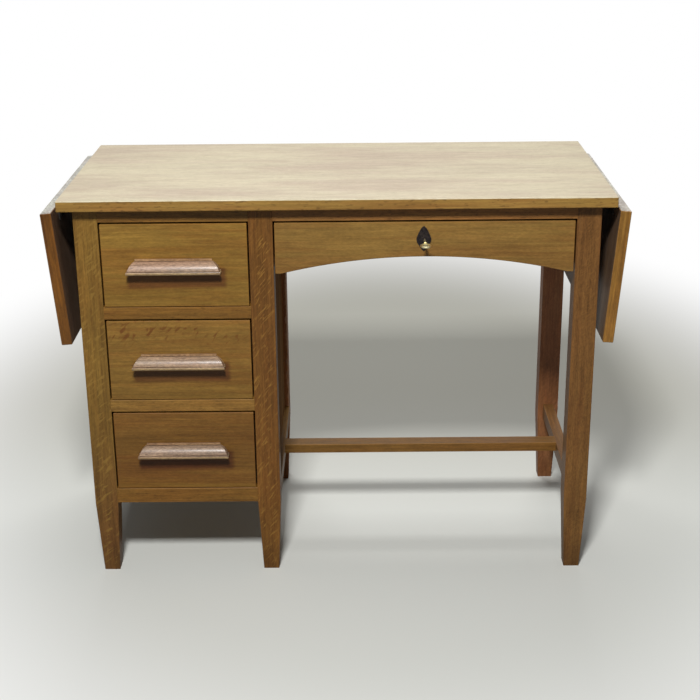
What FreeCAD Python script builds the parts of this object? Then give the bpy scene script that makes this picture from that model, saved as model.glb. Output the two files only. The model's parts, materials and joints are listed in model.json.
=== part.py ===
"""Drop-leaf writing desk: one pedestal of three drawers, and a kneehole with an arched drawer.

Millimetres, +Z up.  X runs along the front, the drawers face -Y, and the origin is on the floor
under the middle of the desk.  The leaves hang at both ends on butt hinges, and a loper under the
top at each end carries a raised leaf.  Every size is a cell of the sheet "Sizes", and the pieces
are bound to those cells, so a changed size is carried through the whole desk.
"""
import FreeCAD, Part, Sketcher
import math
import os
import re

SIZES = {
    # the top and the frame under it
    "desk_height": 760.0,
    "top_width": 1006.0,
    "top_depth": 478.0,
    "top_thick": 20.0,
    "front_overhang": 22.0,
    "side_overhang": 24.5,
    "back_overhang": 4.0,
    "edge_ease": 1.2,          # chamfer along the edges of the top and the leaves
    "arris": 0.7,              # chamfer along the other edges that show
    # legs
    "leg_size": 44.0,
    "foot_size": 30.0,
    "clear_under": 151.0,      # from the floor to the lowest rail, where the taper starts
    # rails, panels, aprons and stretchers
    "bay_width": 273.0,        # between the legs of the pedestal
    "top_rail": 25.5,
    "drawer_rail": 23.5,
    "bottom_rail": 30.0,
    "rail_thick": 22.0,
    "panel_thick": 12.0,
    "panel_recess": 10.0,
    "panel_groove": 6.0,
    "apron_height": 190.0,
    "apron_thick": 18.0,
    "tenon_length": 15.0,
    "tenon_thick": 9.0,
    "tenon_shoulder": 4.0,
    "stretcher_tenon": 9.0,
    "stretcher_width": 33.0,
    "stretcher_thick": 19.0,
    # drawers
    "gap_side": 3.0,
    "gap_over": 3.5,
    "gap_under": 1.5,
    "front_thick": 20.0,
    "side_thick": 10.0,
    "back_thick": 10.0,
    "bottom_thick": 5.0,
    "drawer_room": 22.0,       # from the back of a drawer to the end of its runners
    "side_below_front": 14.0,  # how much lower than the front's top edge the sides end
    "back_below_side": 8.0,
    "bottom_rise": 9.0,        # from the sides' lower edge to the bottom board
    "drawer_groove": 5.0,
    "tail_length": 14.0,
    "tail_root": 16.0,
    "tail_flare": 3.0,
    "slide_gap": 0.3,          # play under everything that slides
    "runner_thick": 15.0,
    "runner_ledge": 20.0,      # how far a runner reaches in under a drawer
    "guide_height": 24.0,
    "stop_height": 6.0,
    # kneehole drawer
    "knee_front": 96.0,        # height of the front at its ends
    "arch_rise": 31.0,
    "arch_flat": 10.0,
    "knee_side_rise": 18.0,    # from the front's lower corners to the sides' lower edge
    "knee_bottom_rise": 17.0,
    # pulls
    "pull_width": 141.0,       # along the fillet at the top of the moulding
    "pull_height": 27.0,
    "pull_reach": 20.0,
    "pull_fillet": 4.0,
    "pull_brow": 3.2,          # height of the fillet
    "pull_step": 1.2,
    "pull_lip": 6.0,           # height of the rounded lip
    "pull_quirk": 1.2,         # the grooves below the fillet and above the lip
    "pull_swell": 26.0,        # radius of the bulging face
    "pull_nose": 4.2,          # radius of the lip
    "pull_wall": 5.0,          # thickness behind the hollow for the fingers
    "pull_hollow": 6.2,        # radius of that hollow
    "pull_aside": 2.0,         # the pulls are set this far to the left of the middle
    "low_pull_rise": 3.5,      # and the lowest one this far above it
    # leaves and their hinges
    "leaf_length": 251.0,
    "joint_gap": 1.0,
    "left_pin_out": 4.0,       # the left leaf's pins lie this far out, under the leaf
    "leaf_tuck": 19.5,         # how far in a hanging leaf reaches at its lower edge
    "pin_drop": 4.5,           # from the underside of the top to the hinge pin
    "knuckle_radius": 4.0,
    "pin_radius": 2.0,
    "pin_play": 0.2,
    "knuckle_gap": 0.3,
    "hinge_plate": 1.8,
    "hinge_flap": 24.0,        # from the pin to the edge of a flap
    "hinge_length": 60.0,
    "hinge_inset": 60.0,       # from the ends of the leaf to its hinges
    # lopers
    "loper_width": 40.0,
    "loper_length": 290.0,
    "loper_ledge": 5.0,
    "loper_inset": 2.0,        # from the outer face of the legs to the end of a loper
    "guide_width": 18.0,
    "finger_radius": 9.0,
    # blocks under the top
    "block_size": 26.0,
    # lock, key and escutcheon
    "key_axis_drop": 33.0,     # from the top edge of the drawer's front to the key
    "key_out": 53.0,           # how far the key stands out from the front
    "key_shank": 2.0,
    "key_hole": 2.5,
    "bow_width": 20.0,
    "bow_length": 24.0,
    "bow_thick": 3.4,
    "bow_rim": 3.8,
    "bit_reach": 7.5,
    "bit_width": 4.0,
    "plate_width": 27.0,
    "plate_height": 47.0,
    "plate_thick": 1.5,
    "plate_aside": 1.5,        # the escutcheon is set this far to the left of the key
    "lock_width": 56.0,
    "lock_height": 46.0,
    "lock_depth": 10.0,
    "lock_wall": 2.0,
    "bolt_width": 28.0,
    "bolt_thick": 4.0,
    "bolt_throw": 6.5,
    "bolt_play": 0.3,
}

doc = FreeCAD.newDocument("DropLeafDesk")
sheet = doc.addObject("Spreadsheet::Sheet", "Sizes")
for row, (alias, number) in enumerate(SIZES.items(), start=1):
    sheet.set(f"A{row}", alias)
    sheet.set(f"B{row}", str(number))
    sheet.setAlias(f"B{row}", alias)
doc.recompute()


def size(alias):
    """The number in one cell of the sheet."""
    return float(sheet.get(alias))


# Places that several pieces share, as formulas in the names of the sheet.
HALF = "(top_width / 2 - side_overhang)"
FRONT = "((key_out - top_depth + front_overhang) / 2)"
BACK = f"({FRONT} + top_depth - front_overhang - back_overhang)"
MIDDLE = f"({FRONT} - front_overhang + top_depth / 2)"
UNDER = "(desk_height - top_thick)"
BAY_HEIGHT = f"(({UNDER} - top_rail - clear_under - bottom_rail - 2 * drawer_rail) / 3)"
LEG_FRONT = f"({FRONT} + leg_size)"
LEG_BACK = f"({BACK} - leg_size)"
OUTER = f"(-{HALF})"
BAY_LEFT = f"({OUTER} + leg_size)"
BAY_RIGHT = f"({BAY_LEFT} + bay_width)"
KNEE_LEFT = f"({BAY_RIGHT} + leg_size)"
KNEE_RIGHT = f"({HALF} - leg_size)"
KNEE_MIDDLE = f"(({KNEE_LEFT} + {KNEE_RIGHT}) / 2)"
KNEE_WALL = f"({KNEE_LEFT} - panel_recess)"
APRON_IN = f"({HALF} - leg_size / 2 - apron_thick / 2)"
APRON_OUT = f"({APRON_IN} + apron_thick)"
KNEE_FLOOR = f"({UNDER} - top_rail - gap_over - knee_front)"
FRONT_TOP = f"({UNDER} - top_rail - gap_over)"
KEY_HEIGHT = f"({FRONT_TOP} - key_axis_drop)"
PIN_X = "(top_width / 2 + joint_gap / 2)"
PIN_Z = f"({UNDER} - pin_drop)"

pieces = {}     # label of each finished piece: the object that holds it
cutters = {}    # label of a piece: the tools that are let into it


def formula(text):
    """The text as an expression, with every name of the sheet written as one of its cells."""
    def cell(word):
        return f"Sizes.{word.group()}" if word.group() in SIZES else word.group()
    return re.sub(r"[A-Za-z_]\w*", cell, text)


def bind(thing, **values):
    """Bind properties of an object to formulas; a double underscore stands for a dot."""
    for name, text in values.items():
        thing.setExpression(name.replace("__", "."), formula(text))


def put(thing, x="0", y="0", z="0"):
    """Bind the place of an object's own origin to formulas."""
    bind(thing, Placement__Base__x=x, Placement__Base__y=y, Placement__Base__z=z)
    return thing


def value(text):
    """The number that a formula gives."""
    return float(sheet.evalExpression(formula(text)))


def box(x, y, z):
    """A board between two formulas along each axis."""
    board = doc.addObject("Part::Box", "Board")
    for length, axis, (low, high) in zip(("Length", "Width", "Height"), "xyz", (x, y, z)):
        board.setExpression(length, formula(f"({high}) - ({low})"))
        board.setExpression(f"Placement.Base.{axis}", formula(low))
    return board


def fuse(*parts):
    """Several parts made one."""
    joined = doc.addObject("Part::MultiFuse", "Joined")
    joined.Shapes = list(parts)
    joined.Refine = True
    return joined


def cut(base, *tools):
    """A part with tools taken out of it."""
    result = doc.addObject("Part::Cut", "Trimmed")
    result.Base = base
    result.Tool = tools[0] if len(tools) == 1 else fuse(*tools)
    result.Refine = True
    return result


def group(*parts):
    """Like pieces kept as separate solids of one node."""
    bundle = doc.addObject("Part::Compound", "Group")
    bundle.Links = list(parts)
    return bundle


def ease(part, depth, wanted=lambda edge: True):
    """A small chamfer along the edges that are wanted."""
    doc.recompute()
    soft = doc.addObject("Part::Chamfer", "Eased")
    soft.Base = part
    edges = enumerate(part.Shape.Edges, start=1)
    soft.Edges = [(number, depth, depth) for number, edge in edges if wanted(edge)]
    return soft


def rod(radius, x, y, z, turn):
    """A cylinder between two formulas along the axis that turn lays it on; the other two are one formula."""
    part = doc.addObject("Part::Cylinder", "Rod")
    low, high = next(span for span in (x, y, z) if isinstance(span, tuple))
    part.Placement.Rotation = turn
    bind(part, Radius=radius, Height=f"({high}) - ({low})")
    return put(part, *(low if isinstance(span, tuple) else span for span in (x, y, z)))


def outline(body, plane, corners):
    """A closed sketch on one of a body's planes, through corners that formulas hold in place.

    A corner is (across, up).  With (radius, bend) added, the side that starts there is a curve, and
    bend is 1 where that curve turns to the left and -1 where it turns to the right.
    """
    flat = body.newObject("Sketcher::SketchObject", "Outline")
    flat.AttachmentSupport = [(next(f for f in body.Origin.OriginFeatures if f.Role == plane), "")]
    flat.MapMode = "FlatFace"
    spots = [FreeCAD.Vector(value(corner[0]), value(corner[1]), 0) for corner in corners]
    starts = []
    for number, corner in enumerate(corners):
        here, there = spots[number], spots[(number + 1) % len(spots)]
        if len(corner) == 2:
            flat.addGeometry(Part.LineSegment(here, there))
            starts.append(1)
            continue
        radius, bend = value(corner[2]), corner[3]
        half = (there - here) / 2
        aside = FreeCAD.Vector(-half.y, half.x, 0).normalize() * math.sqrt(radius ** 2 - half.Length ** 2)
        centre = here + half + aside * bend
        first, last = (here, there) if bend > 0 else (there, here)
        angles = [math.atan2(spot.y - centre.y, spot.x - centre.x) for spot in (first, last)]
        if angles[1] < angles[0]:
            angles[1] += 2 * math.pi
        flat.addGeometry(Part.ArcOfCircle(Part.Circle(centre, FreeCAD.Vector(0, 0, 1), radius), *angles))
        starts.append(1 if bend > 0 else 2)
    for number, corner in enumerate(corners):
        held = [("DistanceX", corner[0], (-1, 1, number, starts[number])),
                ("DistanceY", corner[1], (-1, 1, number, starts[number]))]
        if len(corner) > 2:
            held.append(("Radius", corner[2], (number,)))
        before = (number - 1) % len(corners)
        flat.addConstraint(Sketcher.Constraint("Coincident", before, 3 - starts[before], number, starts[number]))
        for kind, text, where in held:
            index = flat.addConstraint(Sketcher.Constraint(kind, *where, value(text)))
            flat.setExpression(f"Constraints[{index}]", formula(text))
    return flat


def padded(plane, corners, length):
    """A body padded from an outline: from XZ_Plane it grows towards -Y, from YZ_Plane towards +X."""
    body = doc.addObject("PartDesign::Body", "Body")
    flat = outline(body, plane, corners)
    pad = body.newObject("PartDesign::Pad", "Pad")
    pad.Profile = flat
    bind(pad, Length=length)
    return body


def piece(label, part):
    """Name a finished piece, once what is let into it has been cut out."""
    pieces[label] = part


def let_in(tool, *labels):
    """Cut the shape of a tenon, a tail or a fitting out of the pieces that take it."""
    for label in labels:
        cutters.setdefault(label, []).append(tool)


def rail(label, x, y, z, ends, legs, thick_axis, tenon_length="tenon_length"):
    """A board with a tenon at each end, let into the two pieces that it joins.

    ends says which axis the rail runs along; thick_axis says across which axis the tenon is thin.
    """
    spans = {"x": x, "y": y, "z": z}
    tenons = []
    for side, leg in enumerate(legs):
        span = dict(spans)
        start = spans[ends][side]
        out = (f"{start} - {tenon_length}", f"{start} + {tenon_length}")[side]
        span[ends] = (out, start) if side == 0 else (start, out)
        for axis in "xyz":
            low, high = spans[axis]
            if axis == thick_axis:
                middle = f"(({low}) + ({high})) / 2"
                span[axis] = (f"{middle} - tenon_thick / 2", f"{middle} + tenon_thick / 2")
            elif axis != ends:
                span[axis] = (f"{low} + tenon_shoulder", f"{high} - tenon_shoulder")
        tenon = box(span["x"], span["y"], span["z"])
        let_in(tenon, leg)
        tenons.append(tenon)
    board = ease(box(x, y, z), size("arris"), lambda edge: edge.Length > size("leg_size") * 1.2)
    piece(label, fuse(board, *tenons))


def post(x, y, foot, waist, turn):
    """A square post round an upright axis, tapered below the lowest rail; turn is in degrees."""
    parts = []
    for low, high, span in ((foot, waist, ("0", "clear_under")), (waist, waist, ("clear_under", UNDER))):
        part = doc.addObject("Part::Wedge", "Post")
        part.Placement.Rotation = FreeCAD.Rotation(turn, 0, 90)
        bind(part, Xmin=f"-({low}) / 2", Xmax=f"({low}) / 2", Zmin=f"-({low}) / 2", Zmax=f"({low}) / 2",
             X2min=f"-({high}) / 2", X2max=f"({high}) / 2", Z2min=f"-({high}) / 2", Z2max=f"({high}) / 2",
             Ymin="0", Ymax=f"{span[1]} - {span[0]}", Placement__Base__x=f"{x} + leg_size / 2",
             Placement__Base__y=f"{y} + leg_size / 2", Placement__Base__z=span[0])
        parts.append(part)
    return fuse(*parts)


def leg(label, x, y):
    """A leg with small chamfers: the common part of a square post and one turned by 45 degrees."""
    whole = doc.addObject("Part::Common", "Leg")
    whole.Base = post(x, y, "foot_size", "leg_size", 0)
    whole.Tool = post(x, y, "(foot_size - arris) * sqrt(2)", "(leg_size - arris) * sqrt(2)", 45)
    whole.Refine = True
    piece(label, whole)


def frame():
    """The six legs, and the rails, panels, aprons and stretchers between them."""
    front_rail = (FRONT, f"{FRONT} + rail_thick")
    bay = (BAY_LEFT, BAY_RIGHT)
    legs = ("leg_front_left", "leg_front_middle")
    rail("pedestal_top_rail", bay, front_rail, (f"{UNDER} - top_rail", UNDER), "x", legs, "y")
    rail("pedestal_bottom_rail", bay, front_rail, ("clear_under", "clear_under + bottom_rail"), "x", legs, "y")
    for label, number in (("drawer_rail_lower", 1), ("drawer_rail_upper", 2)):
        floor = opening_floor(number)
        rail(label, bay, (FRONT, LEG_FRONT), (f"{floor} - drawer_rail", floor), "x", legs, "z")
    rail("kneehole_top_rail", (KNEE_LEFT, KNEE_RIGHT), front_rail, (f"{UNDER} - top_rail", UNDER), "x",
         ("leg_front_middle", "leg_front_right"), "y")

    between = (LEG_FRONT, LEG_BACK)
    low = ("clear_under", "clear_under + bottom_rail")
    rail("side_rail_outer", (OUTER, f"{OUTER} + rail_thick"), between, low, "y",
         ("leg_front_left", "leg_back_left"), "x")
    rail("side_rail_inner", (f"{KNEE_LEFT} - rail_thick", KNEE_LEFT), between, low, "y",
         ("leg_front_middle", "leg_back_middle"), "x")
    centre = f"({HALF} - leg_size / 2)"
    rail("stretcher_right", (f"{centre} - rail_thick / 2", f"{centre} + rail_thick / 2"), between, low, "y",
         ("leg_front_right", "leg_back_right"), "x")
    rail("stretcher_long", (KNEE_LEFT, f"{centre} - rail_thick / 2"),
         (f"{MIDDLE} - stretcher_width / 2", f"{MIDDLE} + stretcher_width / 2"),
         ("clear_under + bottom_rail - stretcher_thick", "clear_under + bottom_rail"), "x",
         ("side_rail_inner", "stretcher_right"), "z", "stretcher_tenon")

    apron = (f"{UNDER} - apron_height", UNDER)
    rail("apron_right", (APRON_IN, APRON_OUT), between, apron, "y", ("leg_front_right", "leg_back_right"), "x")
    centre = f"({BACK} - leg_size / 2)"
    rail("apron_back", (KNEE_LEFT, KNEE_RIGHT), (f"{centre} - apron_thick / 2", f"{centre} + apron_thick / 2"),
         apron, "x", ("leg_back_middle", "leg_back_right"), "y")

    panel_z = ("clear_under + bottom_rail - panel_groove", UNDER)
    panel_y = (f"{LEG_FRONT} - panel_groove", f"{LEG_BACK} + panel_groove")
    panel("panel_outer", (f"{OUTER} + panel_recess", f"{OUTER} + panel_recess + panel_thick"), panel_y, panel_z,
          ("leg_front_left", "leg_back_left", "side_rail_outer"))
    panel("panel_inner", (f"{KNEE_WALL} - panel_thick", KNEE_WALL), panel_y, panel_z,
          ("leg_front_middle", "leg_back_middle", "side_rail_inner"))
    panel("panel_back", (f"{BAY_LEFT} - panel_groove", f"{BAY_RIGHT} + panel_groove"),
          (f"{BACK} - panel_recess - panel_thick", f"{BACK} - panel_recess"), ("clear_under", UNDER),
          ("leg_back_left", "leg_back_middle"))

    for place, x in (("left", OUTER), ("middle", BAY_RIGHT), ("right", KNEE_RIGHT)):
        leg(f"leg_front_{place}", x, FRONT)
        leg(f"leg_back_{place}", x, LEG_BACK)


def panel(label, x, y, z, takers):
    """A plain panel held in grooves of the pieces round it."""
    board = box(x, y, z)
    let_in(board, *takers)
    piece(label, board)


def opening_floor(number):
    """Height of the floor of a drawer opening, counted from 0 at the bottom."""
    return f"(clear_under + bottom_rail + {number} * ({BAY_HEIGHT} + drawer_rail))"


def top():
    """The fixed middle of the top, and the glue blocks that hold it down."""
    board = box(("-top_width / 2", "top_width / 2"),
                (f"{FRONT} - front_overhang", f"{FRONT} - front_overhang + top_depth"),
                (UNDER, "desk_height"))
    piece("desk_top", ease(board, size("edge_ease")))
    blocks = []
    inside_front = f"{FRONT} + rail_thick"
    inside_back = f"{BACK} - leg_size / 2 - apron_thick / 2 - block_size"
    for share in (0.25, 0.75):
        x = f"{KNEE_LEFT} + {share} * ({KNEE_RIGHT} - {KNEE_LEFT}) - block_size / 2"
        for y in (inside_front, inside_back):
            blocks.append(box((x, f"{x} + block_size"), (y, f"{y} + block_size"),
                              (f"{UNDER} - block_size", UNDER)))
    for x in (f"{BAY_LEFT} + gap_side", f"{BAY_RIGHT} - gap_side - block_size"):
        for y in (inside_front, f"{BACK} - panel_recess - panel_thick - block_size"):
            blocks.append(box((x, f"{x} + block_size"), (y, f"{y} + block_size"),
                              (f"{UNDER} - block_size", UNDER)))
    piece("top_blocks", group(*blocks))


def runner(x_wall, x_open, inward, floor):
    """A ledge that carries a drawer's side, with a strip beside the drawer that guides it."""
    ledge_end = f"{x_open} + {inward} * runner_ledge"
    low, high = (x_wall, ledge_end) if inward > 0 else (ledge_end, x_wall)
    ledge = box((low, high), (LEG_FRONT, LEG_BACK), (f"{floor} - runner_thick", floor))
    low, high = (x_wall, x_open) if inward > 0 else (x_open, x_wall)
    guide = box((low, high), (LEG_FRONT, LEG_BACK), (floor, f"{floor} + guide_height"))
    return fuse(ledge, guide)


def runners_and_stops():
    """The runners of all four drawers, and a block on each that stops the drawer's side."""
    bay = [(f"({OUTER} + panel_recess + panel_thick)", BAY_LEFT, 1),
           (f"({KNEE_WALL} - panel_thick)", BAY_RIGHT, -1)]
    places = [(side, opening_floor(number)) for number in range(3) for side in bay]
    knee_floor = f"({KNEE_FLOOR} + knee_side_rise - slide_gap)"
    places += [(side, knee_floor) for side in ((KNEE_WALL, KNEE_LEFT, 1), (APRON_IN, KNEE_RIGHT, -1))]
    rails, stops = [], []
    behind = f"{LEG_BACK} - drawer_room"
    for (wall, opening, inward), floor in places:
        rails.append(runner(wall, opening, inward, floor))
        x = (opening, f"{opening} + {inward} * runner_ledge")
        stops.append(box(x[::inward], (behind, LEG_BACK), (floor, f"{floor} + stop_height")))
    piece("drawer_runners", group(*rails))
    piece("drawer_stops", group(*stops))


def tails(x, y, floor, height, count):
    """The dovetails at the front end of a drawer's side, wider at their tips."""
    parts = []
    for number in range(count):
        tail = doc.addObject("Part::Wedge", "Tail")
        wide = "(tail_root + 2 * tail_flare)"
        bind(tail, Xmin="0", Xmax="side_thick", X2min="0", X2max="side_thick", Ymin="0", Ymax="tail_length",
             Zmin="0", Zmax=wide, Z2min="tail_flare", Z2max="tail_flare + tail_root",
             Placement__Base__x=x, Placement__Base__y=f"{y} - tail_length",
             Placement__Base__z=f"{floor} + ({number} + 0.5) * ({height}) / {count} - {wide} / 2")
        parts.append(tail)
    return parts


def drawer(name, x_open, front_bottom, side_bottom, rise, count):
    """The boards of a drawer: lap dovetails, a housed back and a grooved bottom.

    x_open is the opening's left and right.  Returns the front, unless front_bottom is None and the
    front is made elsewhere.
    """
    left = f"({x_open[0]} + gap_side)"
    right = f"({x_open[1]} - gap_side)"
    inner_front = f"({FRONT} + front_thick)"
    end = f"({LEG_BACK} - drawer_room)"
    side_top = f"({FRONT_TOP_OF[name]} - side_below_front)"
    height = f"({side_top} - {side_bottom})"
    base = box((f"{left} + side_thick - drawer_groove", f"{right} - side_thick + drawer_groove"),
               (f"{inner_front} - drawer_groove", end),
               (f"{side_bottom} + {rise}", f"{side_bottom} + {rise} + bottom_thick"))
    rear = box((f"{left} + side_thick - drawer_groove", f"{right} - side_thick + drawer_groove"),
               (f"{end} - 2 * back_thick", f"{end} - back_thick"),
               (f"{side_bottom} + {rise} + bottom_thick", f"{side_top} - back_below_side"))
    for hand, x in (("left", left), ("right", f"{right} - side_thick")):
        board = box((x, f"{x} + side_thick"), (inner_front, end), (side_bottom, side_top))
        joints = tails(x, inner_front, side_bottom, height, count)
        for tail in joints:
            let_in(tail, f"{name}_front")
        label = f"{name}_side_{hand}"
        let_in(base, label)
        let_in(rear, label)
        piece(label, fuse(board, *joints))
    let_in(base, f"{name}_front")
    piece(f"{name}_bottom", base)
    piece(f"{name}_back", rear)
    if front_bottom:
        return box((left, right), (FRONT, inner_front), (front_bottom, FRONT_TOP_OF[name]))


FRONT_TOP_OF = {
    "drawer_lower": f"({opening_floor(0)} + {BAY_HEIGHT} - gap_over)",
    "drawer_middle": f"({opening_floor(1)} + {BAY_HEIGHT} - gap_over)",
    "drawer_upper": f"({opening_floor(2)} + {BAY_HEIGHT} - gap_over)",
    "drawer_knee": FRONT_TOP,
}


def pull():
    """A mitred moulding: fillet, bulging face and rounded lip, hollow underneath for the fingers.

    The same outline runs along the front and round both ends, so the pull is what two pads of that
    outline have in common.
    """
    face = [("pull_fillet", "pull_height"), ("pull_fillet", "pull_height - pull_brow"),
            ("pull_fillet - pull_quirk", "pull_height - pull_brow"),
            ("pull_fillet - pull_quirk", "pull_height - pull_brow - pull_quirk"),
            ("pull_fillet + pull_step", "pull_height - pull_brow - pull_quirk"),
            ("pull_reach - 2 * pull_step", "pull_lip + pull_quirk"),
            ("pull_reach - 2 * pull_step - pull_quirk", "pull_lip + pull_quirk"),
            ("pull_reach - 2 * pull_step - pull_quirk", "pull_lip"),
            ("pull_reach - pull_step / 2", "pull_lip"), ("pull_reach - pull_step", "pull_step / 2")]
    curves = {4: "pull_swell", 8: "pull_nose"}

    def side(place, order, bend):
        """The moulding's corners, from the fillet to the lip or back."""
        corners = []
        for number in order:
            start = number if bend > 0 or order[0] == 0 else number - 1
            curve = (curves[start], bend) if start in curves else ()
            corners.append(place(*face[number]) + curve)
        return corners
    along = padded("YZ_Plane", side(lambda out, up: (f"-({out})", up), range(len(face)), 1) + [
        ("-(pull_reach - 3 * pull_step)", "pull_step / 2", "pull_hollow", -1), ("-pull_wall", "pull_wall - pull_step"),
        ("-pull_wall", "0"), ("0", "0"), ("0", "pull_height")], "pull_width + 4 * pull_reach")
    put(along, "-(pull_width / 2 + 2 * pull_reach)")
    half = "(pull_width / 2 - pull_fillet)"
    right = side(lambda out, up: (f"{half} + {out}", up), range(len(face)), -1)
    left = side(lambda out, up: (f"-{half} - ({out})", up), range(len(face) - 1, -1, -1), -1)
    foot = [(f"{half} + pull_reach - pull_step", "-1"), (f"-{half} - (pull_reach - pull_step)", "-1")]
    across = padded("XZ_Plane", right + foot + left, "pull_reach + 1")
    whole = doc.addObject("Part::Common", "Pull")
    whole.Base, whole.Tool = along, across
    return whole


def pedestal_drawers():
    """Three drawers alike, each with a moulded pull across its front."""
    for number, name in enumerate(("drawer_lower", "drawer_middle", "drawer_upper")):
        floor = opening_floor(number)
        front_bottom = f"({floor} + gap_under)"
        board = drawer(name, (BAY_LEFT, BAY_RIGHT), front_bottom, f"({floor} + slide_gap)", "bottom_rise", 3)
        piece(f"{name}_front", ease(board, size("arris")))
        middle = f"(({front_bottom} + {FRONT_TOP_OF[name]}) / 2)"
        lift = " + low_pull_rise" if number == 0 else ""
        piece(f"{name}_pull", put(pull(), f"({BAY_LEFT} + {BAY_RIGHT}) / 2 - pull_aside", FRONT,
                                  f"{middle} - pull_height / 2{lift}"))


ALONG_Y = FreeCAD.Rotation(FreeCAD.Vector(1, 0, 0), -90)


def keyhole(start, end):
    """The hole for the key between two places along Y: round, with a slot below it for the bit."""
    hole = rod("key_hole", KNEE_MIDDLE, (start, end), KEY_HEIGHT, ALONG_Y)
    slot = box((f"{KNEE_MIDDLE} - key_hole * 0.55", f"{KNEE_MIDDLE} + key_hole * 0.55"), (start, end),
               (f"{KEY_HEIGHT} - bit_reach - 2", KEY_HEIGHT))
    return fuse(hole, slot)


def kneehole_drawer():
    """The wide drawer with the arched front, and its lock."""
    name = "drawer_knee"
    side_bottom = f"({KNEE_FLOOR} + knee_side_rise)"
    drawer(name, (KNEE_LEFT, KNEE_RIGHT), None, side_bottom, "knee_bottom_rise", 2)
    half = f"(({KNEE_RIGHT} - {KNEE_LEFT}) / 2 - gap_side)"
    span = f"({half} - arch_flat)"
    board = padded("XZ_Plane", [
        (f"-{half}", "0"), (f"-{half}", "knee_front"), (half, "knee_front"), (half, "0"),
        (span, "0", f"({span} * {span} + arch_rise * arch_rise) / (2 * arch_rise)", 1), (f"-{span}", "0")],
        "front_thick")
    put(board, KNEE_MIDDLE, f"{FRONT} + front_thick", KNEE_FLOOR)
    piece(f"{name}_front", ease(board, size("arris")))
    let_in(keyhole(f"{FRONT} - 1", f"{FRONT} + front_thick"), f"{name}_front")
    lock()


def lock():
    """Escutcheon, lock case with its bolt, and the key."""
    piece("escutcheon", put(escutcheon(), f"{KNEE_MIDDLE} - plate_aside", FRONT, KEY_HEIGHT))
    let_in(keyhole(f"{FRONT} - plate_thick - 1", f"{FRONT} + 1"), "escutcheon")

    back = f"({FRONT} + front_thick)"
    case = box((f"{KNEE_MIDDLE} - lock_width / 2", f"{KNEE_MIDDLE} + lock_width / 2"),
               (f"{back} - lock_depth", back), (f"{FRONT_TOP} - lock_height", FRONT_TOP))
    let_in(case, "drawer_knee_front")
    room = box((f"{KNEE_MIDDLE} - lock_width / 2 + lock_wall", f"{KNEE_MIDDLE} + lock_width / 2 - lock_wall"),
               (f"{back} - lock_depth + lock_wall", f"{back} - lock_wall"),
               (f"{FRONT_TOP} - lock_height + lock_wall", f"{FRONT_TOP} - lock_wall"))
    bolt_y = f"({back} - lock_depth / 2)"
    play = "bolt_play"
    slot = box((f"{KNEE_MIDDLE} - bolt_width / 2 - {play}", f"{KNEE_MIDDLE} + bolt_width / 2 + {play}"),
               (f"{bolt_y} - bolt_thick / 2 - {play}", f"{bolt_y} + bolt_thick / 2 + {play}"),
               (f"{FRONT_TOP} - 2 * lock_wall", f"{FRONT_TOP} + 1"))
    piece("lock_case", cut(case, room, slot, keyhole(FRONT, bolt_y)))

    bolt = box((f"{KNEE_MIDDLE} - bolt_width / 2", f"{KNEE_MIDDLE} + bolt_width / 2"),
               (f"{bolt_y} - bolt_thick / 2", f"{bolt_y} + bolt_thick / 2"),
               (f"{KEY_HEIGHT} + bit_reach + 1.0", f"{FRONT_TOP} - {play}"))
    piece("lock_bolt", bolt)
    keep = box((f"{KNEE_MIDDLE} - bolt_width / 2 - 1", f"{KNEE_MIDDLE} + bolt_width / 2 + 1"),
               (f"{bolt_y} - bolt_thick / 2 - 0.5", f"{bolt_y} + bolt_thick / 2 + 0.5"),
               (f"{UNDER} - top_rail - 1", f"{FRONT_TOP} + bolt_throw + 1"))
    let_in(keep, "kneehole_top_rail")

    key(bolt_y)


def escutcheon():
    """A thin plate like a drop, pointed above and below, round the keyhole at the origin."""
    def at(across, share):
        return (f"{across} * plate_width / 2", f"(0.05 + {share}) * plate_height")
    tight, wide, flat = "0.36 * plate_height", "0.8 * plate_height", "2 * plate_height"
    return padded("XZ_Plane", [
        at(0, 0.5) + (tight, -1), at(0.46, 0.36) + (flat, -1), at(1, 0) + (tight, -1), at(0.68, -0.25) + (wide, -1),
        at(0, -0.5) + (wide, -1), at(-0.68, -0.25) + (tight, -1), at(-1, 0) + (flat, -1),
        at(-0.46, 0.36) + (tight, -1)], "plate_thick")


def key(bolt_y):
    """The key, turned so that its oval bow and its bit are level: bow, collar, shank and bit."""
    def disc(less):
        oval = doc.addObject("Part::Ellipse", "Oval")
        oval.Placement.Rotation = FreeCAD.Rotation(90, 0, 0)
        bind(oval, MajorRadius=f"bow_length / 2 - {less}", MinorRadius=f"bow_width / 2 - {less}")
        put(oval, KNEE_MIDDLE, f"{FRONT} - key_out + bow_length / 2", f"{KEY_HEIGHT} - bow_thick / 2")
        plate = doc.addObject("Part::Extrusion", "Disc")
        plate.Base, plate.Solid, plate.DirMode, plate.Dir = oval, True, "Custom", FreeCAD.Vector(0, 0, 1)
        bind(plate, LengthFwd="bow_thick")
        return plate
    shank_start = f"{FRONT} - key_out + bow_length"
    back = f"{bolt_y} + bit_width / 2"
    bow = cut(ease(disc("0"), size("bow_thick") * 0.22), disc("bow_rim"))
    shank = rod("key_shank", KNEE_MIDDLE, (f"{shank_start} - 1", back), KEY_HEIGHT, ALONG_Y)
    collar = rod("key_shank + 1.2", KNEE_MIDDLE, (f"{shank_start} + 2", f"{shank_start} + 4.5"), KEY_HEIGHT, ALONG_Y)
    bit = box((KNEE_MIDDLE, f"{KNEE_MIDDLE} + bit_reach"), (f"{back} - bit_width", back),
              (f"{KEY_HEIGHT} - key_shank * 0.6", f"{KEY_HEIGHT} + key_shank * 0.6"))
    piece("key", fuse(bow, shank, collar, bit))


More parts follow.
